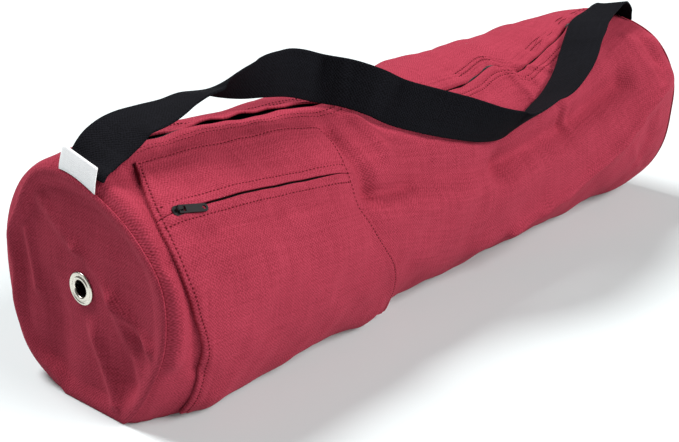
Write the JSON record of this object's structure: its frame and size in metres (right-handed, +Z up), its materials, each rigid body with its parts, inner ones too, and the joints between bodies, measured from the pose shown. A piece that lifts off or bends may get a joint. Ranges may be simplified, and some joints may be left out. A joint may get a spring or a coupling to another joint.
{
  "type": "yoga mat bag",
  "caption": "cylindrical canvas bag for a rolled yoga mat, lying on its side, with a long top zip, a zipped side pocket, a vent eyelet in one end and a webbing carrying strap",
  "frame": {"origin": "on the floor, in the middle of the whole bag's bounding box", "axes": "+X runs along the bag from the end with the eyelet to the plain end, -Y is the side with the pocket, +Z is up"},
  "size_m": [0.6632, 0.2142, 0.2335],
  "materials": {
    "canvas": "heavy plain-weave cotton canvas, berry red",
    "zip_tape": "black woven zip tape with its coil",
    "black_metal": "black lacquered zip metal",
    "nickel": "plated eyelet",
    "webbing": "black cotton webbing, close plain weave",
    "label_tape": "white woven tag, left bare"
  },
  "bodies": {
    "root": {"body": "canvas", "near_end": "canvas", "far_end": "canvas", "main_zip": "zip_tape", "main_slider": "black_metal", "pocket_band": "canvas", "pocket_panel": "canvas", "pocket_zip": "zip_tape", "pocket_slider": "black_metal", "grommet": "nickel", "strap": "webbing", "label": "label_tape"},
    "pocket_pull": {"pocket_pull": "black_metal"}
  },
  "joints": [
    {"name": "pull_swing", "type": "hinge", "parent": "root", "child": "pocket_pull", "pos_m": [-0.29671, -0.06531, 0.16197], "axis": [-0.2619, -0.6976, -0.6669], "range_deg": [0, 165]}
  ]
}
